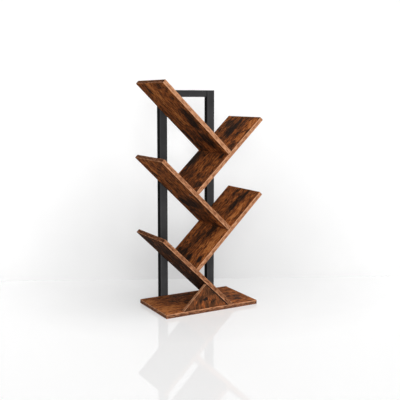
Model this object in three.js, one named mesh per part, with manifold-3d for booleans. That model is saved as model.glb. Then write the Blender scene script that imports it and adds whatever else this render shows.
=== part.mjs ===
// A tree shaped bookshelf: five leaning shelves that branch left and right from a flat base,
// stiffened by a black steel frame that stands behind them.
// Millimetres, +Z up. The origin is on the floor under the middle of the base board, the front
// faces -Y. The left and right of the names are those of someone who stands in front of it.

import * as THREE from 'three';
import { mergeVertices } from 'three/addons/utils/BufferGeometryUtils.js';
import Module from 'manifold-3d';

const wasm = await Module();
wasm.setup();

// Boards
const boardThickness = 20;
const boardDepth = 295;
const baseLength = 500;
const shelfLength = 491;
const topShelfLength = 480;
const leanDegrees = 44;
// clear distance between two shelves that lean the same way
const bookSpace = 242;
// from the middle of the base to the underside of the lowest shelf, along the base's top
const firstFoot = 86.4;
// from the base's top to the first right-leaning shelf, along the lowest shelf's upper face
const firstSeat = 267;
// a shelf's foot stops this far short of the slanted face that it stands on
const seatGap = 0.3;

// Gusset
const gussetBase = 244;
const gussetThickness = 20;
const gussetRecess = 3;

// Rear frame of rectangular tube
const uprightWidth = 45;
const tubeDepth = 24;
const tubeWall = 1.5;
const tubeCorner = 3;
const frameHeight = 1056;
const barHeight = 34;
const frameWidth = 315;
const frameOffset = 18;

// Plastic ends in the uprights
const footPlate = 3;
const capPlate = 2;
const plugLength = 14;
const plugGap = 0.3;

// Screws and their caps
const screwGap = 0.3;
const frameScrew = {
	shankRadius: 2.5,
	headRadius: 5.5,
	headHeight: 3.2,
	length: 60,
	socketRadius: 1.8,
	socketDepth: 1.8,
	pairSpacing: 26,
};
const joinScrew = {
	shankRadius: 3.5,
	headRadius: 5,
	headHeight: 4,
	length: 50,
	socketRadius: 2.3,
	socketDepth: 3,
	sideInset: 50,
};
const tipShare = 0.1;
const screwCap = { radius: 6.5, thickness: 1.4, stemLength: 2.2, crownShare: 0.7 };
const gussetScrewShares = [ 0.3, 0.7 ];

// Facets
const screwSides = 12;
const cornerSteps = 2;
const cutOverrun = 1;

const lean = THREE.MathUtils.degToRad( leanDegrees );
const leftLean = {
	up: new THREE.Vector2( - Math.cos( lean ), Math.sin( lean ) ),
	normal: new THREE.Vector2( Math.sin( lean ), Math.cos( lean ) ),
};
const rightLean = {
	up: new THREE.Vector2( Math.cos( lean ), Math.sin( lean ) ),
	normal: new THREE.Vector2( - Math.sin( lean ), Math.cos( lean ) ),
};
const front = - boardDepth / 2;
const rear = boardDepth / 2;
const frameBack = rear + tubeDepth;

const laminate = new THREE.MeshStandardMaterial( { color: 0x6a4128, roughness: 0.6, metalness: 0 } );
const powderCoat = new THREE.MeshStandardMaterial( { color: 0x2c2c2d, roughness: 0.55, metalness: 0.1 } );
const blackPlastic = new THREE.MeshStandardMaterial( { color: 0x1d1d1e, roughness: 0.6, metalness: 0 } );
const brownPlastic = new THREE.MeshStandardMaterial( { color: 0x4a2e1e, roughness: 0.5, metalness: 0 } );
const blackScrew = new THREE.MeshStandardMaterial( { color: 0x232325, roughness: 0.4, metalness: 0.8 } );
const zincScrew = new THREE.MeshStandardMaterial( { color: 0xb4b2ac, roughness: 0.35, metalness: 1 } );

const bookshelf = new THREE.Group();

// Solids

function solidOf( geometry ) {

	const bare = geometry.clone();
	bare.deleteAttribute( 'normal' );
	bare.deleteAttribute( 'uv' );
	const merged = mergeVertices( bare );
	return new wasm.Manifold( new wasm.Mesh( {
		numProp: 3,
		vertProperties: merged.attributes.position.array,
		triVerts: new Uint32Array( merged.index.array ),
	} ) );

}

function geometryOf( solid ) {

	const mesh = solid.getMesh();
	const geometry = new THREE.BufferGeometry();
	geometry.setAttribute( 'position', new THREE.BufferAttribute( mesh.vertProperties, 3 ) );
	geometry.setIndex( new THREE.BufferAttribute( mesh.triVerts, 1 ) );
	geometry.computeVertexNormals();
	return geometry;

}

function addPiece( name, geometry, material ) {

	const mesh = new THREE.Mesh( geometry, material );
	mesh.name = name;
	bookshelf.add( mesh );
	return mesh;

}

// A turn that lays a shape's own +Y along the given direction
function turnTo( direction ) {

	return new THREE.Quaternion().setFromUnitVectors( new THREE.Vector3( 0, 1, 0 ), direction );

}

function roundedRectangle( width, height, radius ) {

	const x = width / 2;
	const y = height / 2;
	const shape = new THREE.Shape();
	shape.absarc( x - radius, y - radius, radius, 0, Math.PI / 2 );
	shape.absarc( radius - x, y - radius, radius, Math.PI / 2, Math.PI );
	shape.absarc( radius - x, radius - y, radius, Math.PI, 1.5 * Math.PI );
	shape.absarc( x - radius, radius - y, radius, 1.5 * Math.PI, 2 * Math.PI );
	shape.closePath();
	return shape;

}

// Screws: each is known by where its head bears, the way it points and its size

function screwBores( screw, size ) {

	const radius = size.shankRadius + screwGap;
	const length = size.length + screwGap + cutOverrun;
	const shank = new THREE.CylinderGeometry( radius, radius, length, screwSides );
	shank.translate( 0, length / 2 - cutOverrun, 0 );
	const bores = [ shank ];
	if ( screw.sunk > 0 ) {

		const wide = size.headRadius + screwGap;
		const depth = screw.sunk + cutOverrun;
		const pocket = new THREE.CylinderGeometry( wide, wide, depth, screwSides );
		pocket.translate( 0, - depth / 2, 0 );
		bores.push( pocket );

	}
	return bores.map( ( bore ) => {

		bore.applyQuaternion( turnTo( screw.direction ) );
		bore.translate( screw.seat.x, screw.seat.y, screw.seat.z );
		return solidOf( bore );

	} );

}

function drill( geometry, screws, size ) {

	let solid = solidOf( geometry );
	for ( const screw of screws ) {

		for ( const bore of screwBores( screw, size ) ) solid = solid.subtract( bore );

	}
	return geometryOf( solid );

}

function screwGeometry( size ) {

	const { shankRadius, headRadius, headHeight, length, socketRadius, socketDepth } = size;
	const tip = length * tipShare;
	return new THREE.LatheGeometry( [
		new THREE.Vector2( 0, socketDepth - headHeight - screwGap ),
		new THREE.Vector2( socketRadius, socketDepth - headHeight - screwGap ),
		new THREE.Vector2( socketRadius, - headHeight - screwGap ),
		new THREE.Vector2( headRadius, - headHeight - screwGap ),
		new THREE.Vector2( headRadius, - screwGap ),
		new THREE.Vector2( shankRadius, - screwGap ),
		new THREE.Vector2( shankRadius, length - tip ),
		new THREE.Vector2( 0, length ),
	], screwSides );

}

function capGeometry() {

	const { radius, thickness, stemLength, crownShare } = screwCap;
	const stemRadius = joinScrew.socketRadius - screwGap;
	return new THREE.LatheGeometry( [
		new THREE.Vector2( 0, - screwGap - thickness ),
		new THREE.Vector2( radius * crownShare, - screwGap - thickness ),
		new THREE.Vector2( radius, - screwGap - thickness / 2 ),
		new THREE.Vector2( radius, - screwGap ),
		new THREE.Vector2( stemRadius, - screwGap ),
		new THREE.Vector2( stemRadius, stemLength ),
		new THREE.Vector2( 0, stemLength ),
	], screwSides );

}

function addScrew( screw, size, material ) {

	const mesh = addPiece( screw.name, screwGeometry( size ), material );
	mesh.position.copy( screw.seat );
	mesh.quaternion.copy( turnTo( screw.direction ) );
	return mesh;

}

// Shelves, laid out as outlines of the front view, where a face is a line

function crossing( a, b ) {

	const turn = a.normal.cross( b.normal );
	return new THREE.Vector2(
		( a.distance * b.normal.y - b.distance * a.normal.y ) / turn,
		( b.distance * a.normal.x - a.distance * b.normal.x ) / turn,
	);

}

function layShelf( name, way, under, rest, gap, length ) {

	const lower = { normal: way.normal, distance: under };
	const upper = { normal: way.normal, distance: under + boardThickness };
	const seat = { normal: rest.normal, distance: rest.distance + gap };
	const footUnder = crossing( lower, seat );
	const footTop = crossing( upper, seat );
	const endUnder = footUnder.clone().addScaledVector( way.up, length );
	const endTop = endUnder.clone().addScaledVector( way.normal, boardThickness );
	return { name, way, lower, upper, rest, outline: [ footUnder, endUnder, endTop, footTop ] };

}

const pitch = bookSpace + boardThickness;
const baseTop = { normal: new THREE.Vector2( 0, 1 ), distance: boardThickness };
const firstLeftUnder = new THREE.Vector2( firstFoot, boardThickness ).dot( leftLean.normal );
const lowerLeft = layShelf( 'lower_left_shelf', leftLean, firstLeftUnder, baseTop, 0, shelfLength );
const firstSeatPoint = crossing( lowerLeft.upper, baseTop ).addScaledVector( leftLean.up, firstSeat );
const firstRightUnder = firstSeatPoint.dot( rightLean.normal );

const lowerRight = layShelf(
	'lower_right_shelf', rightLean, firstRightUnder, lowerLeft.upper, seatGap, shelfLength,
);
const middleLeft = layShelf(
	'middle_left_shelf', leftLean, firstLeftUnder + pitch, lowerRight.upper, seatGap, shelfLength,
);
const upperRight = layShelf(
	'upper_right_shelf', rightLean, firstRightUnder + pitch, middleLeft.upper, seatGap, shelfLength,
);
const topLeft = layShelf(
	'top_left_shelf', leftLean, firstLeftUnder + 2 * pitch, upperRight.upper, seatGap, topShelfLength,
);
const base = {
	name: 'base_board',
	way: { up: new THREE.Vector2( 1, 0 ), normal: new THREE.Vector2( 0, 1 ) },
	lower: { normal: new THREE.Vector2( 0, 1 ), distance: 0 },
	outline: [
		new THREE.Vector2( - baseLength / 2, 0 ),
		new THREE.Vector2( baseLength / 2, 0 ),
		new THREE.Vector2( baseLength / 2, boardThickness ),
		new THREE.Vector2( - baseLength / 2, boardThickness ),
	],
};

// Gusset: a triangle between the base, the lowest shelf and a side that leans right
const gussetFoot = new THREE.Vector2( firstFoot - gussetBase, boardThickness );
const gussetSide = { normal: rightLean.normal, distance: gussetFoot.dot( rightLean.normal ) };
const gussetTop = { normal: leftLean.normal, distance: firstLeftUnder - seatGap };
const gussetOutline = [ gussetFoot, crossing( gussetTop, baseTop ), crossing( gussetTop, gussetSide ) ];
const gussetMiddle = front + gussetRecess + gussetThickness / 2;

// An outline of the front view, run back from the given front face
function boardGeometry( outline, frontFace, depth ) {

	const geometry = new THREE.ExtrudeGeometry( new THREE.Shape( outline ), { depth, bevelEnabled: false } );
	geometry.rotateX( Math.PI / 2 );
	geometry.translate( 0, frontFace + depth, 0 );
	return geometry;

}

// Frame screws: two where a board crosses an upright, side by side along the board
const uprightReach = ( frameWidth - uprightWidth ) / 2;
const uprights = [
	{ side: 'left', x: frameOffset - uprightReach, boards: [ base, lowerLeft, middleLeft, topLeft ] },
	{ side: 'right', x: frameOffset + uprightReach, boards: [ base, lowerRight, upperRight ] },
];

function crossingScrews( board, upright ) {

	const middle = { normal: board.way.normal, distance: board.lower.distance + boardThickness / 2 };
	const post = { normal: new THREE.Vector2( 1, 0 ), distance: upright.x };
	const centre = crossing( middle, post );
	const place = board.name.replace( '_shelf', '' ).replace( '_board', '' );
	return [ 'a', 'b' ].map( ( letter, i ) => {

		const shift = ( i - 0.5 ) * frameScrew.pairSpacing;
		const spot = centre.clone().addScaledVector( board.way.up, shift );
		return {
			name: `frame_screw_${ place }_${ upright.side }_${ letter }`,
			seat: new THREE.Vector3( spot.x, frameBack, spot.y ),
			direction: new THREE.Vector3( 0, - 1, 0 ),
			sunk: 0,
			into: [ board.name, `${ upright.side }_upright`, `${ upright.side }_upright_foot` ],
		};

	} );

}

const frameScrews = uprights.flatMap( ( upright ) =>
	upright.boards.flatMap( ( board ) => crossingScrews( board, upright ) ) );

// Screws with sunk heads: from the outer face of one board into the end of the next
const headSink = joinScrew.headHeight + 2 * screwGap;

function sunkScrew( name, spot, inward, y, into ) {

	const seat = spot.clone().addScaledVector( inward, headSink );
	return {
		name,
		seat: new THREE.Vector3( seat.x, y, seat.y ),
		mouth: new THREE.Vector3( spot.x, y, spot.y ),
		direction: new THREE.Vector3( inward.x, 0, inward.y ),
		sunk: headSink,
		into,
	};

}

function jointScrews( carrier, shelf ) {

	const [ footUnder, , , footTop ] = shelf.outline;
	const foot = footUnder.clone().add( footTop ).multiplyScalar( 0.5 );
	const inward = carrier.way.normal;
	const spot = foot.clone().addScaledVector( inward, - boardThickness - seatGap );
	const side = boardDepth / 2 - joinScrew.sideInset;
	const name = `joint_screw_${ shelf.name.replace( '_shelf', '' ) }`;
	return [ [ 'front', - side ], [ 'rear', side ] ].map( ( [ end, y ] ) =>
		sunkScrew( `${ name }_${ end }`, spot, inward, y, [ carrier.name, shelf.name ] ) );

}

const [ gussetLeft, gussetRight, gussetPeak ] = gussetOutline;
const upward = new THREE.Vector2( 0, 1 );
const baseScrews = gussetScrewShares.map( ( share, i ) => {

	const spot = new THREE.Vector2( THREE.MathUtils.lerp( gussetLeft.x, gussetRight.x, share ), 0 );
	const name = `base_screw_front_${ [ 'left', 'right' ][ i ] }`;
	return sunkScrew( name, spot, upward, gussetMiddle, [ 'base_board', 'front_gusset' ] );

} );
const downLeft = leftLean.normal.clone().negate();
const gussetScrews = gussetScrewShares.map( ( share, i ) => {

	const spot = gussetRight.clone().lerp( gussetPeak, share );
	spot.addScaledVector( leftLean.normal, boardThickness + seatGap );
	const name = `gusset_screw_${ [ 'low', 'high' ][ i ] }`;
	return sunkScrew( name, spot, downLeft, gussetMiddle, [ lowerLeft.name, 'front_gusset' ] );

} );
const shelfScrews = [
	...jointScrews( lowerLeft, lowerRight ),
	...jointScrews( lowerRight, middleLeft ),
	...jointScrews( middleLeft, upperRight ),
	...jointScrews( upperRight, topLeft ),
	...gussetScrews,
];
const sunkScrews = [ ...shelfScrews, ...baseScrews ];

function drilled( name, geometry ) {

	const fromBehind = frameScrews.filter( ( screw ) => screw.into.includes( name ) );
	const sunk = sunkScrews.filter( ( screw ) => screw.into.includes( name ) );
	return drill( drill( geometry, fromBehind, frameScrew ), sunk, joinScrew );

}

// Boards and gusset
for ( const board of [ base, lowerLeft, lowerRight, middleLeft, upperRight, topLeft ] ) {

	const plain = boardGeometry( board.outline, front, boardDepth );
	addPiece( board.name, drilled( board.name, plain ), laminate );

}
const gussetPlain = boardGeometry( gussetOutline, front + gussetRecess, gussetThickness );
addPiece( 'front_gusset', drilled( 'front_gusset', gussetPlain ), laminate );

// Rear frame
function tubeGeometry( width, height, length ) {

	const outline = roundedRectangle( width, height, tubeCorner );
	const innerCorner = tubeCorner - tubeWall;
	outline.holes.push( roundedRectangle( width - 2 * tubeWall, height - 2 * tubeWall, innerCorner ) );
	return new THREE.ExtrudeGeometry( outline, {
		depth: length,
		bevelEnabled: false,
		curveSegments: cornerSteps,
	} );

}

function plugGeometry( plate ) {

	const settings = { bevelEnabled: false, curveSegments: cornerSteps };
	const rim = roundedRectangle( uprightWidth, tubeDepth, tubeCorner );
	const inset = 2 * ( tubeWall + plugGap );
	const plugCorner = tubeCorner - tubeWall - plugGap;
	const plug = roundedRectangle( uprightWidth - inset, tubeDepth - inset, plugCorner );
	const flange = new THREE.ExtrudeGeometry( rim, { depth: plate, ...settings } );
	const insert = new THREE.ExtrudeGeometry( plug, { depth: plate + plugLength, ...settings } );
	return geometryOf( solidOf( flange ).add( solidOf( insert ) ) );

}

const tubeMiddle = rear + tubeDepth / 2;
const uprightLength = frameHeight - footPlate - capPlate;
for ( const { side, x } of uprights ) {

	const tube = tubeGeometry( uprightWidth, tubeDepth, uprightLength );
	tube.translate( x, tubeMiddle, footPlate );
	addPiece( `${ side }_upright`, drilled( `${ side }_upright`, tube ), powderCoat );

	const foot = plugGeometry( footPlate );
	foot.translate( x, tubeMiddle, 0 );
	addPiece( `${ side }_upright_foot`, drilled( `${ side }_upright_foot`, foot ), blackPlastic );

	const cap = addPiece( `${ side }_upright_cap`, plugGeometry( capPlate ), blackPlastic );
	cap.position.set( x, tubeMiddle, frameHeight );
	cap.rotation.x = Math.PI;

}
const barLength = frameWidth - 2 * uprightWidth;
const bar = addPiece( 'top_bar', tubeGeometry( barHeight, tubeDepth, barLength ), powderCoat );
bar.position.set( frameOffset - barLength / 2, tubeMiddle, frameHeight - barHeight / 2 );
bar.rotation.y = Math.PI / 2;

// Screws and caps
for ( const screw of frameScrews ) addScrew( screw, frameScrew, blackScrew );
for ( const screw of sunkScrews ) addScrew( screw, joinScrew, zincScrew );
for ( const screw of shelfScrews ) {

	const cap = addPiece( `${ screw.name }_cap`, capGeometry(), brownPlastic );
	cap.position.copy( screw.mouth );
	cap.quaternion.copy( turnTo( screw.direction ) );

}

export default bookshelf;
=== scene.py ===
import math

import bmesh
import bpy
from mathutils import Matrix, Vector
from mathutils.geometry import convex_hull_2d


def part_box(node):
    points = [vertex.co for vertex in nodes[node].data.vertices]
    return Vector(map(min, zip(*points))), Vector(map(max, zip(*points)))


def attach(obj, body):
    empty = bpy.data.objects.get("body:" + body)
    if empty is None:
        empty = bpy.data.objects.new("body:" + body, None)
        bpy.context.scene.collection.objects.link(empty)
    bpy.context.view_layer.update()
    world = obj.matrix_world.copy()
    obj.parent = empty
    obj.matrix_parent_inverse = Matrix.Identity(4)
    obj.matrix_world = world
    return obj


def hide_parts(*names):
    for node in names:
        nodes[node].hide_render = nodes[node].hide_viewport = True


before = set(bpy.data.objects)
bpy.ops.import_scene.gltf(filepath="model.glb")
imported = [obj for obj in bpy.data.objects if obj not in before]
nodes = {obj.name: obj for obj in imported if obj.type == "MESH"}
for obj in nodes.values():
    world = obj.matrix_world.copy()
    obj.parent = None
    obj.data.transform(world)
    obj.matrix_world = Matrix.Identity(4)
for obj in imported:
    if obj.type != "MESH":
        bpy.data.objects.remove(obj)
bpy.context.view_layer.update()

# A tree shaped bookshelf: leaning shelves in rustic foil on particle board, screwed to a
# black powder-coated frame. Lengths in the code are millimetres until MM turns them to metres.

MM = 0.001
scene = bpy.context.scene
scene.view_settings.view_transform = "Standard"

# Camera

CAMERA_PLACE = (-1627.6, -2937.4, 1014.0)
CAMERA_PITCH = 6.38      # degrees below the horizon
CAMERA_HEADING = 29.13   # degrees from +Y towards +X
CAMERA_LENS = 62.335     # on a 36 mm sensor
CAMERA_SHIFT_Y = -0.06


def make_camera():
    """The view from the front left, from a little below the height of the top shelf's end."""
    data = bpy.data.cameras.new("camera")
    data.lens = CAMERA_LENS
    data.shift_y = CAMERA_SHIFT_Y
    data.clip_end = 100
    camera = bpy.data.objects.new("camera", data)
    camera.location = Vector(CAMERA_PLACE) * MM
    camera.rotation_euler = (
        math.radians(90 - CAMERA_PITCH), 0, math.radians(-CAMERA_HEADING)
    )
    scene.collection.objects.link(camera)
    scene.camera = camera


# Materials: shared tools

def linear(colour):
    """An sRGB hex colour as the linear colour that a shader takes."""
    parts = [int(colour[i:i + 2], 16) / 255 for i in (1, 3, 5)]
    return [p / 12.92 if p <= 0.04045 else ((p + 0.055) / 1.055) ** 2.4 for p in parts] + [1.0]


def add(tree, kind, inputs=None, stops=None, **settings):
    """A node with its settings, its colour stops, and its inputs set or linked."""
    node = tree.nodes.new("ShaderNode" + kind)
    for name, value in settings.items():
        setattr(node, name, value)
    for name, value in (inputs or {}).items():
        if isinstance(value, bpy.types.NodeSocket):
            tree.links.new(value, node.inputs[name])
        else:
            node.inputs[name].default_value = value
    if stops:
        ramp = node.color_ramp.elements
        while len(ramp) < len(stops):
            ramp.new(0.5)
        for element, (place, colour) in zip(ramp, stops):
            element.position = place
            element.color = linear(colour) if isinstance(colour, str) else [colour] * 3 + [1]
    return node


def new_material(name):
    """A material without nodes, and its tree."""
    material = bpy.data.materials.new(name)
    material.use_nodes = True
    material.node_tree.nodes.clear()
    return material, material.node_tree


def own_millimetres(tree):
    """A point of the piece in the piece's own frame, in millimetres."""
    place = add(tree, "TexCoord").outputs["Object"]
    return add(tree, "VectorMath", {0: place, "Scale": 1 / MM}, operation="SCALE").outputs[0]


def own_facing(tree):
    """How squarely the surface faces along each of the piece's own axes, from 0 to 1."""
    normal = add(tree, "TexCoord").outputs["Normal"]
    normal = add(tree, "VectorMath", {0: normal}, operation="ABSOLUTE").outputs[0]
    return add(tree, "SeparateXYZ", {0: normal}).outputs


def sum_up(tree, level, parts):
    """The level of a tone with each part, times its share, added to it."""
    for part, share in parts:
        level = add(
            tree, "Math", {0: part, 1: share, 2: level}, operation="MULTIPLY_ADD"
        ).outputs[0]
    return level


# Laminate

# The print: from charred knots over brown oak to rubbed orange-brown
PRINT_STOPS = [
    (0.00, "#1f1714"), (0.20, "#342115"), (0.40, "#52321e"), (0.55, "#704227"),
    (0.70, "#914e28"), (0.85, "#b06530"), (1.00, "#c27b45"),
]
# The edge band: the same foil, rubbed paler where it wraps the board
BAND_STOPS = [(0.05, "#3c2419"), (0.30, "#6f462f"), (0.50, "#996748"), (0.75, "#c38f6b")]

# The patterns, by the size of a cell in mm along, across and through the board. The real grain
# strokes are under 1 mm wide and are drawn as coarse as they need to show.
WANDER_CELL = (90, 36, 60)
BROAD_CELL = (140, 30, 60)
SMOKE_CELL = (32, 16, 60)
GRAIN_CELL = (26, 7.5, 60)
FLECK_CELL = (18, 8, 60)
DASH_CELL = (24, 24, 6)
WANDER_REACH = (56, 30, 0)   # the streaks wander by up to half of this, mostly by a fifth

# How far each moves the level of the print or the band, before the board's own contrast
SMOKE_SHARE = 1.4
GRAIN_SHARE = 2.5
FLECK_SHARE = -0.45
RUBBED_SHARE = 0.38
BURNT_SHARE = -0.58
DASH_SHARE = 1.8
MARK_RAGGEDNESS = 2.4
BAND_MIDDLE = 0.5            # the level of a band that is neither paler nor darker
# Where a mark begins and where it is full, as a share of its half length and half width
MARK_RIM = (1.25, 0.4)
MARK_DEPTH = 1e6             # far more than the board's thickness, in mm

# Where wear and shade begin and where they are full, in mm
WORN_RIM = (4.5, 2)          # on the edge band, from either face
WORN_AMOUNTS = (0.3, 0.16)   # beside the first face and beside the far one
# painted shade: where the dark line along a gusset's slanted side begins and where it is full
JOINT_SHADE = (10, 6)         # on a gusset, along and across together, from the slanted side
# painted shade: where the band's tone beside the foot begins to change and where the change is full
FOOT_SHADE = (80, 55)        # on the edge band, from the board's foot


def pattern(tree, source, cell, detail, roughness):
    """Noise about zero whose cells are this many millimetres along, across and through."""
    spot = add(tree, "Mapping", {0: source, "Scale": cell}, vector_type="TEXTURE").outputs[0]
    noise = add(tree, "TexNoise", {
        "Vector": spot, "Scale": 1.0, "Detail": detail, "Roughness": roughness,
    }).outputs["Fac"]
    return add(tree, "Math", {0: noise, 1: 0.5}, operation="SUBTRACT").outputs[0]


def place_on_sheet(tree, place, size, seed):
    """Where a point of the board lies on the printed sheet. The far face carries the same
    print, turned round, and the streaks wander a little."""
    length, width, thickness = size
    through = add(tree, "SeparateXYZ", {0: place}).outputs[2]
    far_face = add(
        tree, "Math", {0: through, 1: thickness / 2}, operation="GREATER_THAN"
    ).outputs[0]
    turned_round = add(
        tree, "VectorMath", {0: (length, width, 0), 1: place}, operation="SUBTRACT"
    ).outputs[0]
    face = add(
        tree, "Mix", {0: far_face, 4: place, 5: turned_round}, data_type="VECTOR"
    ).outputs[1]
    sheet = add(
        tree, "VectorMath", {0: face, 1: (1, 1, 0), 2: (0, 0, seed)}, operation="MULTIPLY_ADD"
    ).outputs[0]
    run = add(tree, "Mapping", {0: sheet, "Scale": WANDER_CELL}, vector_type="TEXTURE").outputs[0]
    wander = add(tree, "TexNoise", {"Vector": run, "Scale": 1.0, "Detail": 3.0}).outputs["Color"]
    shift = add(
        tree, "VectorMath", {0: wander, 1: (0.5, 0.5, 0.5)}, operation="SUBTRACT"
    ).outputs[0]
    return add(
        tree, "VectorMath", {0: shift, 1: WANDER_REACH, 2: sheet}, operation="MULTIPLY_ADD"
    ).outputs[0]


def hand_drawn(tree, spot_on_sheet, smoke, marks, seed):
    """The marks as two parts of the print's level: rubbed to orange where a mark's amount is
    above 0, burnt where it is below. The smoke makes them ragged."""
    rubbed, burnt = [], []
    begins, full = MARK_RIM
    for u, v, half_long, half_wide, amount in marks:
        spot = add(tree, "Mapping", {
            0: spot_on_sheet, "Location": (u, v, seed),
            "Scale": (half_long, half_wide, MARK_DEPTH),
        }, vector_type="TEXTURE").outputs[0]
        reach = add(tree, "VectorMath", {0: spot}, operation="LENGTH").outputs["Value"]
        mark = add(tree, "MapRange", {
            "Value": reach, "From Min": begins, "From Max": full, "To Min": 0,
            "To Max": abs(amount),
        }, interpolation_type="SMOOTHSTEP").outputs[0]
        (rubbed if amount > 0 else burnt).append(mark)
    ragged = sum_up(tree, 1.0, [(smoke, MARK_RAGGEDNESS)])
    parts = []
    for group, share in ((rubbed, RUBBED_SHARE), (burnt, BURNT_SHARE)):
        if not group:
            continue
        most = group[0]
        for mark in group[1:]:
            most = add(tree, "Math", {0: most, 1: mark}, operation="MAXIMUM").outputs[0]
        most = add(tree, "Math", {0: most, 1: ragged}, operation="MULTIPLY").outputs[0]
        parts.append((most, share))
    return parts


def laminate(
    name, size, tone, marks, contrast=1.0, band=0.0, end=-0.2, slope=0.0, foot=0.0, joint_shade=0.0,
    seed=0.0, sheen=0.02
):
    """Melamine-faced particle board: a printed foil with a rustic oak pattern, pressed with a
    fine open grain. The eye gets long dark streaks, burnt patches and knots between rubbed
    orange-brown bands, a dead-matt sheen, and paler, worn edges.

    size is the board's length, width and thickness, tone the print's middle level, contrast how
    strong its fine marks are, band the edge band's level, end how far the band differs on the
    board's ends, slope how much paler the band gets from the first face to the far one, foot how
    far it differs beside the board's foot, as painted shade in the corner there, seam how dark a
    line of painted shade runs along a gusset's slanted side, where the shelf stands proud of it,
    and sheen the foil's specular level."""
    material, tree = new_material(name)
    place = own_millimetres(tree)
    along, across, through = add(tree, "SeparateXYZ", {0: place}).outputs
    length, width, thickness = size

    # painted shade: a dark line fills the 5 mm along the joint, where the shelf stands proud of its
    # gusset
    joint = []
    if joint_shade:
        from_corner = add(tree, "Math", {0: along, 1: across}, operation="ADD").outputs[0]
        begins, full = JOINT_SHADE
        joint_shade_line = add(tree, "MapRange", {
            "Value": from_corner, "From Min": width - begins, "From Max": width - full,
            "To Min": 0, "To Max": joint_shade,
        }).outputs[0]
        joint = [(joint_shade_line, -1.0)]

    spot_on_sheet = place_on_sheet(tree, place, size, seed)
    broad = pattern(tree, spot_on_sheet, BROAD_CELL, detail=5.0, roughness=0.6)
    smoke = pattern(tree, spot_on_sheet, SMOKE_CELL, detail=6.0, roughness=0.7)
    grain = pattern(tree, spot_on_sheet, GRAIN_CELL, detail=4.0, roughness=0.7)
    # short black flecks where the pores are filled
    pores = pattern(tree, spot_on_sheet, FLECK_CELL, detail=3.0, roughness=0.6)
    flecks = add(tree, "MapRange", {
        "Value": pores, "From Min": 0.09, "From Max": 0.18, "To Min": 0, "To Max": 1,
    }, interpolation_type="SMOOTHSTEP").outputs[0]
    level = sum_up(tree, tone, [
        (broad, 1.0),
        (smoke, SMOKE_SHARE * contrast),
        (grain, GRAIN_SHARE * contrast),
        (flecks, FLECK_SHARE * contrast),
        *hand_drawn(tree, spot_on_sheet, smoke, marks, seed),
        *joint,
    ])
    print_colour = add(tree, "ValToRGB", {0: level}, stops=PRINT_STOPS).outputs[0]

    # the edge band is where the surface turns away from the two faces
    ending, _, facing = own_facing(tree)
    on_band = add(tree, "MapRange", {
        "Value": facing, "From Min": 0.85, "From Max": 0.6, "To Min": 0, "To Max": 1,
    }).outputs[0]
    dashes = pattern(tree, place, DASH_CELL, detail=4.0, roughness=0.7)
    begins, full = WORN_RIM
    first, far = WORN_AMOUNTS
    worn = [
        add(tree, "MapRange", {
            "Value": through, "From Min": start, "From Max": stop, "To Min": 0, "To Max": amount,
        }).outputs[0]
        for start, stop, amount in (
            (begins, full, first), (thickness - begins, thickness - full, far)
        )
    ]
    # painted shade: the band's tone changes beside the board's foot, in the corner there
    foot_shade = []
    if foot:
        begins, full = FOOT_SHADE
        near_foot = add(tree, "MapRange", {
            "Value": along, "From Min": length - begins, "From Max": length - full,
            "To Min": 0, "To Max": 1,
        }).outputs[0]
        foot_shade = [(near_foot, foot)]
    band_level = sum_up(tree, BAND_MIDDLE + band - slope / 2, [
        (dashes, DASH_SHARE),
        (through, slope / thickness),
        *[(rim, 1.0) for rim in worn],
        (ending, end),
        *joint,
        *foot_shade,
    ])
    band_colour = add(tree, "ValToRGB", {0: band_level}, stops=BAND_STOPS).outputs[0]
    colour = add(
        tree, "Mix", {0: on_band, 6: print_colour, 7: band_colour}, data_type="RGBA"
    ).outputs[2]

    # the pressed grain is up to 0.15 mm deep, and its hollows are rougher
    roughness = add(tree, "MapRange", {
        "Value": grain, "From Min": -0.2, "From Max": 0.2, "To Min": 0.85, "To Max": 0.7,
    }).outputs[0]
    pressed = add(
        tree, "Bump", {"Height": grain, "Strength": 0.5, "Distance": 0.15 * MM}
    ).outputs[0]
    shader = add(tree, "BsdfPrincipled", {
        "Base Color": colour, "Roughness": roughness, "Specular IOR Level": sheen,
        "Normal": pressed,
    })
    add(tree, "OutputMaterial", {0: shader.outputs[0]})
    return material


# Metal and plastic

COAT_GRIT = 1.5               # mm, the real grit is about 0.4 and is drawn coarser to show
COAT_CLOUD = 90
COAT_GRIT_SHARE = 0.35        # how much of the grit there is in the tone beside the clouds
COAT_AT_TOP = [(0.45, "#3c3c3d"), (0.9, "#484849")]
COAT_AT_FOOT = [(0.45, "#474748"), (0.9, "#555556")]
# painted shade: the near black of the narrow faces and the arrises
COAT_PAINTED_SHADE = "#161617"
COAT_PAINTED_LIFT = (900, 100)     # painted light: heights in mm where the coat begins to be painted lighter towards the floor and where it is full
# How much of the coat's colour a wide face shows, from one arris to the other, by the axis
# that it spans: painted shade darkens the margins beside both arrises, and on the uprights a
# painted highlight makes a paler line beside their left arris.
WIDE_FACE_PAINTED_LIGHT = {
    0: [
        (0, 0.2), (0.07, 0.2), (0.11, 0.95), (0.2, 0.95), (0.25, 0.75), (0.95, 0.75), (0.99, 0.4),
    ],
    2: [(0, 0.4), (0.05, 0.72), (0.95, 0.72), (1, 0.4)],
}
MOULD_STIPPLE = 0.8           # mm, the real stipple is about 0.2 and is drawn coarser to show
PLASTIC_CLOUD = 12            # mm, how wide the faint clouds in its colour are
HANDLING_RUB = 1.2            # mm, the real marks are about 0.3 and are drawn coarser to show


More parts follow.
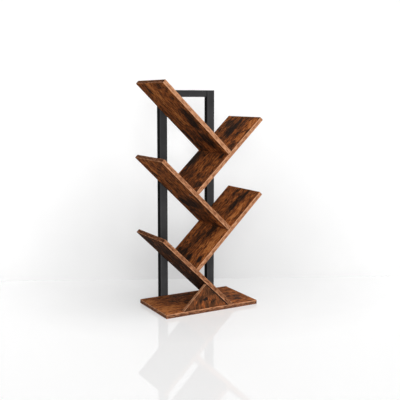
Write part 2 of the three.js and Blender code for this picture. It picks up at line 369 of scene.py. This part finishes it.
def powder_coat(name, across, low, high):
    """Powder-coated steel tube, black, sprayed and baked: a dense matt skin with a fine
    sand-like texture. The wide faces span the tube along the axis across, from low to high in
    millimetres. Painted shade keeps the narrow faces, the arrises and a margin beside these near
    black, and a painted highlight lightens a line beside the uprights' left arris. The coat is
    also painted lighter towards the floor, to offset the shelves' shade."""
    material, tree = new_material(name)
    place = own_millimetres(tree)
    grit = add(tree, "TexNoise", {
        "Vector": place, "Scale": 1 / COAT_GRIT, "Detail": 2.0, "Roughness": 0.6,
    }).outputs["Fac"]
    cloud = add(tree, "TexNoise", {
        "Vector": place, "Scale": 1 / COAT_CLOUD, "Detail": 3.0, "Roughness": 0.5,
    }).outputs["Fac"]
    tone = sum_up(tree, cloud, [(grit, COAT_GRIT_SHARE)])
    top, foot = (
        add(tree, "ValToRGB", {0: tone}, stops=stops).outputs[0]
        for stops in (COAT_AT_TOP, COAT_AT_FOOT)
    )
    # painted light: the coat is painted lighter towards the floor, to offset the shade that the
    # shelves cast on the lower tubes
    coordinates = add(tree, "SeparateXYZ", {0: place}).outputs
    begins, full = COAT_PAINTED_LIFT
    painted_lift = add(tree, "MapRange", {
        "Value": coordinates[2], "From Min": begins, "From Max": full, "To Min": 0, "To Max": 1,
    }).outputs[0]
    colour = add(tree, "Mix", {0: painted_lift, 6: top, 7: foot}, data_type="RGBA").outputs[2]
    share = add(tree, "MapRange", {
        "Value": coordinates[across], "From Min": low, "From Max": high, "To Min": 0, "To Max": 1,
    }).outputs[0]
    # painted shade darkens each wide face beside its arrises, and a painted highlight lightens a
    # line beside the uprights' left arris
    rubbed = add(tree, "ValToRGB", {0: share}, stops=WIDE_FACE_PAINTED_LIGHT[across]).outputs[0]
    colour = add(
        tree, "Mix", {0: 1.0, 6: colour, 7: rubbed}, data_type="RGBA", blend_type="MULTIPLY"
    ).outputs[2]
    # painted shade: the narrow faces and the arrises are painted near black
    on_wide = add(tree, "MapRange", {
        "Value": own_facing(tree)[1], "From Min": 0.85, "From Max": 0.99, "To Min": 0,
        "To Max": 1,
    }).outputs[0]
    colour = add(
        tree, "Mix", {0: on_wide, 6: linear(COAT_PAINTED_SHADE), 7: colour}, data_type="RGBA"
    ).outputs[2]
    roughness = add(tree, "MapRange", {
        "Value": cloud, "From Min": 0.3, "From Max": 0.7, "To Min": 0.5, "To Max": 0.62,
    }).outputs[0]
    bump = add(
        tree, "Bump", {"Height": grit, "Strength": 0.45, "Distance": 0.15 * MM}
    ).outputs[0]
    shader = add(tree, "BsdfPrincipled", {
        "Base Color": colour, "Roughness": roughness, "Specular IOR Level": 0.01,
        "Normal": bump,
    })
    add(tree, "OutputMaterial", {0: shader.outputs[0]})
    return material


def moulded_plastic(name, dark, light, roughness):
    """Injection-moulded polypropylene or polyethylene with an eroded mould texture: even
    colour, a soft low sheen and a fine stipple."""
    material, tree = new_material(name)
    place = own_millimetres(tree)
    stipple = add(tree, "TexNoise", {
        "Vector": place, "Scale": 1 / MOULD_STIPPLE, "Detail": 2.0, "Roughness": 0.5,
    }).outputs["Fac"]
    flow = add(
        tree, "TexNoise", {"Vector": place, "Scale": 1 / PLASTIC_CLOUD, "Detail": 2.0}
    ).outputs["Fac"]
    colour = add(tree, "ValToRGB", {0: flow}, stops=[(0.35, dark), (0.65, light)]).outputs[0]
    bump = add(
        tree, "Bump", {"Height": stipple, "Strength": 0.3, "Distance": 0.05 * MM}
    ).outputs[0]
    shader = add(tree, "BsdfPrincipled", {
        "Base Color": colour, "Roughness": roughness, "IOR": 1.49, "Normal": bump,
    })
    add(tree, "OutputMaterial", {0: shader.outputs[0]})
    return material


def plated_screw_steel(name, dark, light, rough_low, rough_high):
    """Screw steel under a thin plating, cold headed and rolled: a metal sheen with faint
    turning marks and duller patches from handling."""
    material, tree = new_material(name)
    place = own_millimetres(tree)
    rub = add(tree, "TexNoise", {
        "Vector": place, "Scale": 1 / HANDLING_RUB, "Detail": 3.0, "Roughness": 0.6,
    }).outputs["Fac"]
    colour = add(tree, "ValToRGB", {0: rub}, stops=[(0.3, dark), (0.7, light)]).outputs[0]
    roughness = add(tree, "MapRange", {
        "Value": rub, "From Min": 0.3, "From Max": 0.7, "To Min": rough_low, "To Max": rough_high,
    }).outputs[0]
    bump = add(tree, "Bump", {"Height": rub, "Strength": 0.2, "Distance": 0.02 * MM}).outputs[0]
    shader = add(tree, "BsdfPrincipled", {
        "Base Color": colour, "Metallic": 1.0, "Roughness": roughness, "Normal": bump,
    })
    add(tree, "OutputMaterial", {0: shader.outputs[0]})
    return material


# Making pieces

def finished_piece(name, mesh, material, place=Matrix.Identity(4), crease=None):
    """An object from a mesh given in the part's frame, with its own frame at that place.
    Edges sharper than crease, in degrees, stay sharp and flat faces keep their shading."""
    bmesh.ops.recalc_face_normals(mesh, faces=mesh.faces)
    mesh.transform(place.inverted())
    data = bpy.data.meshes.new(name)
    mesh.to_mesh(data)
    mesh.free()
    data.shade_smooth()
    data.materials.append(material)
    piece = bpy.data.objects.new(name, data)
    piece.matrix_world = place
    scene.collection.objects.link(piece)
    if crease:
        data.set_sharp_from_angle(angle=math.radians(crease))
        shading = piece.modifiers.new("shading", "WEIGHTED_NORMAL")
        shading.keep_sharp = True
    return piece


def settle(piece, node):
    """Puts a piece on the body and in place of its CAD node."""
    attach(piece, "root")
    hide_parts(node)


def skin(mesh, loops, ring=False):
    """Faces between successive loops of points, and over the first and the last, or between
    the last and the first for a hollow piece."""
    rings = [[mesh.verts.new(Vector(p) * MM) for p in loop] for loop in loops]
    for one, two in zip(rings, rings[1:] + (rings[:1] if ring else [])):
        for i in range(len(one)):
            j = (i + 1) % len(one)
            mesh.faces.new((one[i], one[j], two[j], two[i]))
    if not ring:
        mesh.faces.new(list(reversed(rings[0])))
        mesh.faces.new(rings[-1])


# Boards

LEAN = math.radians(44)
SIN_LEAN, COS_LEAN = math.sin(LEAN), math.cos(LEAN)
# A board's own frame: x from the free end to the foot, z from the face that the camera sees
# through the board. The base's x runs to the left, the gusset's up and its y to the right.
LEFT_LEANING = ((COS_LEAN, 0, -SIN_LEAN), (0, 1, 0), (SIN_LEAN, 0, COS_LEAN))
RIGHT_LEANING = ((-COS_LEAN, 0, -SIN_LEAN), (0, 1, 0), (SIN_LEAN, 0, -COS_LEAN))
FLAT = ((-1, 0, 0), (0, 1, 0), (0, 0, -1))
STANDING = ((0, 0, 1), (1, 0, 0), (0, 1, 0))

ARRIS = 1.8              # radius of the edges, where the foil is wrapped or trimmed
ARRIS_STEPS = 3
ARRIS_ANGLE = 20         # degrees: an edge that is sharper than this is rounded
STRAIGHT_ENOUGH = 0.05   # an outline point this close to its neighbours' line is dropped


def front_outline(node):
    """The corners of a board in the front view, where its screws' bores don't show."""
    flat = [Vector((v.co.x, v.co.z)) / MM for v in nodes[node].data.vertices]
    hull = [flat[i] for i in convex_hull_2d(flat)]
    corners = []
    for i, point in enumerate(hull):
        before = corners[-1] if corners else hull[-1]
        chord = hull[(i + 1) % len(hull)] - before
        if chord.length > 0 and abs(chord.cross(point - before)) / chord.length > STRAIGHT_ENOUGH:
            corners.append(point)
    return corners


def board(node, axes, look):
    """A board with rounded arrises that stands for its CAD node, in its own print."""
    corners = front_outline(node)
    low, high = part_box(node)
    ends = [[(p.x, y / MM, p.y) for p in corners] for y in (low[1], high[1])]
    turn = Matrix(axes).transposed()
    spans = [[Vector(axis).dot(Vector(p)) for end in ends for p in end] for axis in axes]
    origin = turn @ Vector([min(span) for span in spans]) * MM
    size = [max(span) - min(span) for span in spans]
    mesh = bmesh.new()
    skin(mesh, ends)
    place = Matrix.Translation(origin) @ turn.to_4x4()
    finish = laminate(f"rustic_melamine_{node}", size, **look)
    piece = finished_piece(f"{node}_dressed", mesh, finish, place)
    rounding = piece.modifiers.new("arris", "BEVEL")
    rounding.width = ARRIS * MM
    rounding.segments = ARRIS_STEPS
    rounding.limit_method = "ANGLE"
    rounding.angle_limit = math.radians(ARRIS_ANGLE)
    rounding.harden_normals = True
    settle(piece, node)


# marks: along from the free end, across from the front, half length, half width, amount
# painted shade: the bands are set darker the lower a board stands, all but the gusset's, and the
# lower left shelf's print is set darker for the shade near the base
BOARDS = [
    ("lower_left_shelf", LEFT_LEANING, dict(
        tone=0.25, band=-0.11, end=-0.14, foot=-0.1, seed=110,
        marks=[
            (110, 110, 90, 40, -0.3), (320, 190, 110, 45, -0.2), (200, 60, 70, 18, -0.25),
            (60, 240, 60, 20, -0.4),
        ],
    )),
    ("middle_left_shelf", LEFT_LEANING, dict(
        tone=0.575, band=-0.03, end=-0.17, slope=-0.06, seed=370,
        marks=[
            (318, 120, 46, 90, -0.8), (325, 215, 40, 60, -0.85), (288, 66, 34, 12, -0.6),
            (65, 128, 14, 20, -0.6), (212, 134, 24, 11, -0.5), (118, 240, 18, 22, -0.5),
            (480, 110, 22, 30, -0.5), (440, 225, 40, 26, -0.5), (390, 135, 150, 170, -0.14),
            (60, 214, 60, 26, 0.7), (440, 40, 44, 30, 0.8), (222, 215, 40, 14, 0.4),
        ],
    )),
    ("top_left_shelf", LEFT_LEANING, dict(
        tone=0.6, band=0.115, end=-0.38, seed=530,
        marks=[
            (225, 58, 75, 36, -0.9), (275, 84, 40, 34, -0.8), (95, 50, 16, 26, -0.6),
            (22, 74, 22, 26, -0.45), (385, 85, 62, 52, -0.85), (385, 155, 30, 50, -0.5),
            (42, 216, 30, 11, -0.8), (372, 262, 66, 26, -0.75), (450, 225, 50, 40, -0.5),
            (60, 165, 100, 34, 1.0), (215, 165, 110, 26, 0.6), (462, 160, 30, 40, 0.5),
        ],
    )),
    ("lower_right_shelf", RIGHT_LEANING, dict(
        tone=0.625, band=0.03, slope=-0.16, sheen=0.05, seed=710,
        marks=[
            (40, 96, 36, 24, -0.9), (110, 118, 80, 22, -0.8), (34, 186, 30, 13, -0.7),
            (282, 122, 46, 26, -0.8), (372, 68, 26, 8, -0.8), (444, 40, 17, 15, -1.2),
            (462, 130, 30, 34, -1.0), (446, 215, 26, 60, -0.8), (350, 190, 80, 34, -0.4),
            (75, 140, 110, 170, -0.1),
            (130, 52, 100, 24, 0.8), (330, 44, 120, 42, 1.0), (270, 268, 40, 22, 0.4),
        ],
    )),
    ("upper_right_shelf", RIGHT_LEANING, dict(
        tone=0.53, band=0.06, slope=-0.08, sheen=0.045, seed=890,
        marks=[
            (80, 148, 78, 24, -0.95), (100, 176, 60, 18, -0.7), (50, 222, 28, 26, -0.9),
            (114, 78, 18, 14, -0.8), (60, 92, 14, 20, -0.55), (100, 30, 12, 34, -0.5),
            (190, 32, 26, 22, -0.5), (268, 48, 26, 14, -0.9), (310, 268, 72, 28, -0.95),
            (455, 46, 24, 26, -0.6), (390, 196, 50, 24, -0.15), (60, 140, 100, 170, -0.12),
            (50, 36, 54, 32, 1.0), (145, 34, 44, 26, 0.8), (275, 108, 34, 18, 0.6),
            (330, 66, 60, 30, 0.5), (360, 130, 70, 16, 0.6), (330, 185, 60, 40, 0.6),
        ],
    )),
    ("base_board", FLAT, dict(
        tone=0.73, band=-0.2, end=0.0, slope=-0.36, sheen=0.16, seed=50,
        marks=[
            (430, 80, 80, 44, 0.6), (478, 225, 34, 46, 0.9), (68, 208, 34, 30, 0.2),
            (465, 150, 40, 60, 0.5), (75, 160, 60, 60, -0.25), (350, 180, 90, 50, -0.3),
            (285, 262, 60, 24, -0.5), (70, 68, 26, 16, -0.7), (54, 108, 26, 20, -0.6),
            (440, 146, 22, 24, -0.3), (72, 130, 60, 150, -0.2),
        ],
    )),
    ("front_gusset", STANDING, dict(
        tone=0.44, contrast=0.65, band=0.06, end=0.0, sheen=0.08, joint_shade=0.8, seed=450,
        marks=[(44, 117, 10, 13, -1.3), (30, 90, 30, 50, 0.3), (80, 150, 30, 20, -0.2)],
    )),
]


# Floor, wall, world and lamps, in metres

FLOOR_RADIUS = 9.0
FLOOR_SIDES = 96
FLOOR_FADE = (2.2, 6.0)   # from the middle: the floor fades to the white around it
WALL_DISTANCE = 0.475     # from the middle of the object to the wall behind it
WALL_TURN = 26.4          # degrees that the wall is turned away from the object's back
WALL_REACH = 3.0
WALL_FADE = (0.8, 1.6)
PAINT_CLOUD_SHARE = 0.1
# painted shadow: soft grey spots on the paint around the object: centre, radii, the grey in the
# middle and the tone around it
FLOOR_PAINTED_SHADOW = ((0.03, 0.81, 0), (1.33, 1.47, 1), "#9b9b9b", "#e4e4e4")
WALL_PAINTED_SHADOW = ((0.02, -0.03, 0), (1.67, 1.6, 1), "#717171", "#cecece")
# a painted pool of light, as from a background lamp that isn't there: centre, radii and how much
# lighter it makes the paint
WALL_PAINTED_POOL = ((0.067, 0.613, 0), (0.488, 0.615, 1), 0.18)
# the tones that floor and wall give back to the object
FLOOR_BOUNCE = "#d6d6d6"
WALL_BOUNCE = "#484848"
AMBIENT = 0.1
# name, degrees from the front to the right, degrees up, strength, how wide it looks in degrees
LAMPS = [("front_softbox", -21, 11, 2.6, 40), ("top_softbox", 22, 64, 1.6, 60)]


def studio_paint(name, roughness, specular, glow, bounce, fade, middle, spot, pool=None):
    """Painted studio floor or wall, off-white: an even tone with the faintest cloud, a sheen, a
    soft grey spot of painted shadow and the object's cast shadow, and where a pool is given, a
    painted pool of light. Camera and mirror rays see it lighter by glow, and bounce is the tone
    that it gives back to the object. It fades out between the two distances in fade from the
    middle, and isn't seen from behind."""
    material, tree = new_material(name)
    place = add(tree, "TexCoord").outputs["Object"]
    # painted shadow: a soft grey spot, darkest at its centre
    centre, radii, grey, rim = spot
    cloud = add(tree, "TexNoise", {"Vector": place, "Scale": 3.0, "Detail": 2.0}).outputs["Fac"]
    near = add(
        tree, "Mapping", {0: place, "Location": centre, "Scale": radii}, vector_type="TEXTURE"
    ).outputs[0]
    near = add(tree, "VectorMath", {0: near}, operation="LENGTH").outputs["Value"]
    near = sum_up(tree, near, [(cloud, PAINT_CLOUD_SHARE)])
    colour = add(tree, "ValToRGB", {0: near}, stops=[(0.0, grey), (1.0, rim)]).outputs[0]
    path = add(tree, "LightPath").outputs
    seen = add(
        tree, "Math", {0: path["Is Camera Ray"], 1: path["Is Glossy Ray"]}, operation="MAXIMUM"
    ).outputs[0]
    colour = add(
        tree, "Mix", {0: seen, 6: linear(bounce), 7: colour}, data_type="RGBA"
    ).outputs[2]
    # painted light: the pool lifts the glow around its centre
    if pool:
        centre, radii, light = pool
        away = add(
            tree, "Mapping", {0: place, "Location": centre, "Scale": radii},
            vector_type="TEXTURE",
        ).outputs[0]
        away = add(tree, "VectorMath", {0: away}, operation="LENGTH").outputs["Value"]
        glow = add(tree, "MapRange", {
            "Value": away, "From Min": 1, "From Max": 0, "To Min": glow, "To Max": glow + light,
        }, interpolation_type="SMOOTHSTEP").outputs[0]
    lift = add(tree, "Math", {0: seen, 1: glow}, operation="MULTIPLY").outputs[0]
    paint = add(tree, "BsdfPrincipled", {
        "Base Color": colour, "Roughness": roughness, "Specular IOR Level": specular,
        "Emission Color": linear("#ffffff"), "Emission Strength": lift,
    })
    clear = add(tree, "BsdfTransparent")
    reach = add(tree, "VectorMath", {0: place, 1: middle}, operation="DISTANCE").outputs["Value"]
    gone = add(tree, "MapRange", {
        "Value": reach, "From Min": fade[0], "From Max": fade[1], "To Min": 0, "To Max": 1,
    }, interpolation_type="SMOOTHSTEP").outputs[0]
    behind = add(tree, "NewGeometry").outputs["Backfacing"]
    behind = add(tree, "Math", {0: behind, 1: seen}, operation="MULTIPLY").outputs[0]
    gone = add(tree, "Math", {0: behind, 1: gone}, operation="MAXIMUM").outputs[0]
    mixed = add(tree, "MixShader", {0: gone, 1: paint.outputs[0], 2: clear.outputs[0]})
    add(tree, "OutputMaterial", {0: mixed.outputs[0]})
    return material


def make_floor():
    """A floor whose own coordinates run along the wall and towards it."""
    paint = studio_paint(
        "painted_studio_floor", roughness=0.03, specular=0.4, glow=0.355, bounce=FLOOR_BOUNCE,
        fade=FLOOR_FADE, middle=(0, 0, 0), spot=FLOOR_PAINTED_SHADOW,
    )
    disc = bmesh.new()
    bmesh.ops.create_circle(disc, cap_ends=True, segments=FLOOR_SIDES, radius=FLOOR_RADIUS)
    turn = Matrix.Rotation(-math.radians(WALL_TURN), 4, "Z")
    finished_piece("floor", disc, paint, turn)


def make_wall():
    """A wall close behind the object, which catches its soft shadow."""
    paint = studio_paint(
        "painted_studio_wall", roughness=0.6, specular=0.2, glow=0.45, bounce=WALL_BOUNCE,
        fade=WALL_FADE, middle=(0, 0.6, 0), spot=WALL_PAINTED_SHADOW, pool=WALL_PAINTED_POOL,
    )
    turn = math.radians(WALL_TURN)
    across = Vector((-math.cos(turn), math.sin(turn), 0))
    facing = Vector((-math.sin(turn), -math.cos(turn), 0))
    place = Matrix((across, (0, 0, 1), facing)).transposed().to_4x4()
    place.translation = -facing * WALL_DISTANCE
    sheet = bmesh.new()
    sheet.faces.new([
        sheet.verts.new(place @ Vector((x * WALL_REACH, y * WALL_REACH, 0)))
        for x, y in ((-1, 0), (1, 0), (1, 1), (-1, 1))
    ])
    wall = finished_piece("wall", sheet, paint, place)
    wall.visible_shadow = False   # it stands in no lamp's way


def make_world():
    """White to camera, mirror and clear rays, and a dim soft light on the object."""
    world = bpy.data.worlds.new("studio")
    scene.world = world
    world.use_nodes = True
    tree = world.node_tree
    tree.nodes.clear()
    path = add(tree, "LightPath")
    seen = add(tree, "Math", {
        0: path.outputs["Is Camera Ray"], 1: path.outputs["Is Glossy Ray"],
    }, operation="MAXIMUM").outputs[0]
    seen = add(tree, "Math", {
        0: seen, 1: path.outputs["Is Transmission Ray"],
    }, operation="MAXIMUM").outputs[0]
    strength = add(tree, "MapRange", {
        "Value": seen, "From Min": 0, "From Max": 1, "To Min": AMBIENT, "To Max": 1.0,
    }).outputs[0]
    white = add(tree, "Background", {"Color": linear("#ffffff"), "Strength": strength})
    add(tree, "OutputWorld", {0: white.outputs[0]})


def make_lamps():
    """A broad soft key near the camera's height and a soft light overhead."""
    for name, azimuth, elevation, strength, spread in LAMPS:
        turn, rise = math.radians(azimuth), math.radians(elevation)
        towards = -Vector((
            math.sin(turn) * math.cos(rise), -math.cos(turn) * math.cos(rise), math.sin(rise)
        ))
        data = bpy.data.lights.new(name, "SUN")
        data.energy = strength
        data.angle = math.radians(spread)
        lamp = bpy.data.objects.new(name, data)
        lamp.rotation_euler = towards.to_track_quat("-Z", "Y").to_euler()
        scene.collection.objects.link(lamp)


# Frame, screws and caps

TUBE_WALL = 1.5
TUBE_CORNER = 2.0
CORNER_STEPS = 6
ROUND_SIDES = 36
CREASE = 35        # degrees: sharper edges of tubes and turned pieces stay sharp
RIM_CREASE = 50    # the same for the moulded ends, whose rims are softer
OUTWARD = {   # which way a screw's cap looks
    "joint_screw_lower_right": (-SIN_LEAN, 0, -COS_LEAN),
    "joint_screw_upper_right": (-SIN_LEAN, 0, -COS_LEAN),
    "joint_screw_middle_left": (SIN_LEAN, 0, -COS_LEAN),
    "joint_screw_top_left": (SIN_LEAN, 0, -COS_LEAN),
    "gusset_screw": (SIN_LEAN, 0, COS_LEAN),
}

# rings of turned pieces: radius, height from the outermost point, and whether it is six-sided
FRAME_SCREW = [
    (1.8, -1.8, True), (1.8, -0.15, True), (2.2, 0, False), (3.1, -0.1, False),
    (4.3, -0.55, False), (5.1, -1.3, False), (5.5, -2.3, False), (5.5, -3.0, False),
    (5.3, -3.2, False), (2.5, -3.2, False), (2.5, -58, False), (0.8, -63.3, False),
]
SCREW_CAP = [
    (1.2, 0, False), (3.2, -0.08, False), (4.9, -0.32, False), (6.0, -0.75, False),
    (6.45, -1.15, False), (6.5, -1.6, False), (2.0, -1.65, False), (2.0, -3.8, False),
]
# rims of the uprights' ends: how far inside the tube's outline, height from the outer face
UPRIGHT_FOOT = [(0.9, 0), (0.3, 0.2), (0, 0.7), (0, 2.9), (1.8, 2.9), (1.8, 16.5)]
UPRIGHT_CAP = [
    (2.0, 0), (0.8, 0.12), (0.2, 0.5), (0, 1.0), (0, 1.9), (1.8, 1.9), (1.8, 15.5),
]


def turned(node, outward, rings, material):
    """A turned piece in place of its CAD node, on the same axis and as far out."""
    outward = Vector(outward)
    points = [v.co for v in nodes[node].data.vertices]
    middle = sum(points, Vector()) / len(points)
    side = outward.orthogonal().normalized()
    place = Matrix((side, outward.cross(side), outward)).transposed().to_4x4()
    furthest = max(p.dot(outward) for p in points)
    place.translation = middle + outward * (furthest - middle.dot(outward))
    loops = []
    for radius, height, six_sided in rings:
        loop = []
        for i in range(ROUND_SIDES):
            turn = 2 * math.pi * i / ROUND_SIDES
            off_flat = (turn + math.pi / 6) % (math.pi / 3) - math.pi / 6
            reach = radius / math.cos(off_flat) if six_sided else radius
            spot = Vector((reach * math.cos(turn), reach * math.sin(turn), height))
            loop.append(place @ (spot * MM) / MM)
        loops.append(loop)
    mesh = bmesh.new()
    skin(mesh, loops)
    settle(finished_piece(f"{node}_dressed", mesh, material, place, CREASE), node)


def rounded(low, high, corner):
    """A rectangle between two corners, with rounded corners."""
    points = []
    middles = (
        (high[0] - corner, high[1] - corner), (low[0] + corner, high[1] - corner),
        (low[0] + corner, low[1] + corner), (high[0] - corner, low[1] + corner),
    )
    for quarter, (x, y) in enumerate(middles):
        for step in range(CORNER_STEPS + 1):
            turn = math.pi / 2 * (quarter + step / CORNER_STEPS)
            points.append((x + corner * math.cos(turn), y + corner * math.sin(turn)))
    return points


def box_in_mm(node):
    """The lowest and the highest corner of a CAD node."""
    return [[c / MM for c in corner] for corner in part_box(node)]


def tube(node, axis):
    """A hollow rectangular tube along the given axis, 0 or 2, with rolled corners."""
    low, high = box_in_mm(node)
    across = 2 - axis
    flat = (1, across)
    loops = []
    for inset, end in ((0, low), (0, high), (TUBE_WALL, high), (TUBE_WALL, low)):
        outline = rounded(
            [low[i] + inset for i in flat], [high[i] - inset for i in flat], TUBE_CORNER - inset
        )
        loop = []
        for pair in outline:
            spot = [0, 0, 0]
            spot[axis] = end[axis]
            for i, value in zip(flat, pair):
                spot[i] = value
            loop.append(spot)
        loops.append(loop)
    mesh = bmesh.new()
    skin(mesh, loops, ring=True)
    coat = powder_coat(f"powder_coated_steel_black_{node}", across, low[across], high[across])
    piece = finished_piece(f"{node}_dressed", mesh, coat, crease=CREASE)
    settle(piece, node)


def tube_end(node, rims, upward, material):
    """A moulded foot or cap: a plate with a soft rim on a plug that sits in the tube."""
    low, high = box_in_mm(node)
    loops = []
    for inset, height in rims:
        z = high[2] - height if upward else low[2] + height
        outline = rounded(
            [low[0] + inset, low[1] + inset], [high[0] - inset, high[1] - inset],
            max(TUBE_CORNER - inset, 1.0),
        )
        loops.append([(x, y, z) for x, y in outline])
    mesh = bmesh.new()
    skin(mesh, loops)
    piece = finished_piece(f"{node}_dressed", mesh, material, crease=RIM_CREASE)
    settle(piece, node)


def make_hardware():
    """The tubes, their moulded ends, the screws and their caps."""
    black_plastic = moulded_plastic("moulded_polypropylene_black", "#18181a", "#202022", 0.5)
    brown_plastic = moulded_plastic("moulded_polyethylene_brown", "#4a2e1f", "#583723", 0.45)
    black_steel = plated_screw_steel("black_oxide_screw_steel", "#1d1d1f", "#2c2c2e", 0.35, 0.5)
    zinc_steel = plated_screw_steel("zinc_plated_screw_steel", "#a9a8a4", "#c4c2bc", 0.25, 0.4)
    tube("left_upright", 2)
    tube("right_upright", 2)
    tube("top_bar", 0)
    for side in ("left", "right"):
        tube_end(f"{side}_upright_foot", UPRIGHT_FOOT, False, black_plastic)
        tube_end(f"{side}_upright_cap", UPRIGHT_CAP, True, black_plastic)
    for name, piece in nodes.items():
        if name.startswith("frame_screw"):
            turned(name, (0, 1, 0), FRAME_SCREW, black_steel)
        elif "screw" in name and name.endswith("_cap"):
            way = next(way for start, way in OUTWARD.items() if name.startswith(start))
            turned(name, way, SCREW_CAP, brown_plastic)
        elif "screw" in name:
            # the sunk screws stay as they are, in bright zinc
            for held in piece.material_slots:
                held.material = zinc_steel


make_camera()
for node, axes, look in BOARDS:
    board(node, axes, look)
make_hardware()
make_floor()
make_wall()
make_world()
make_lamps()
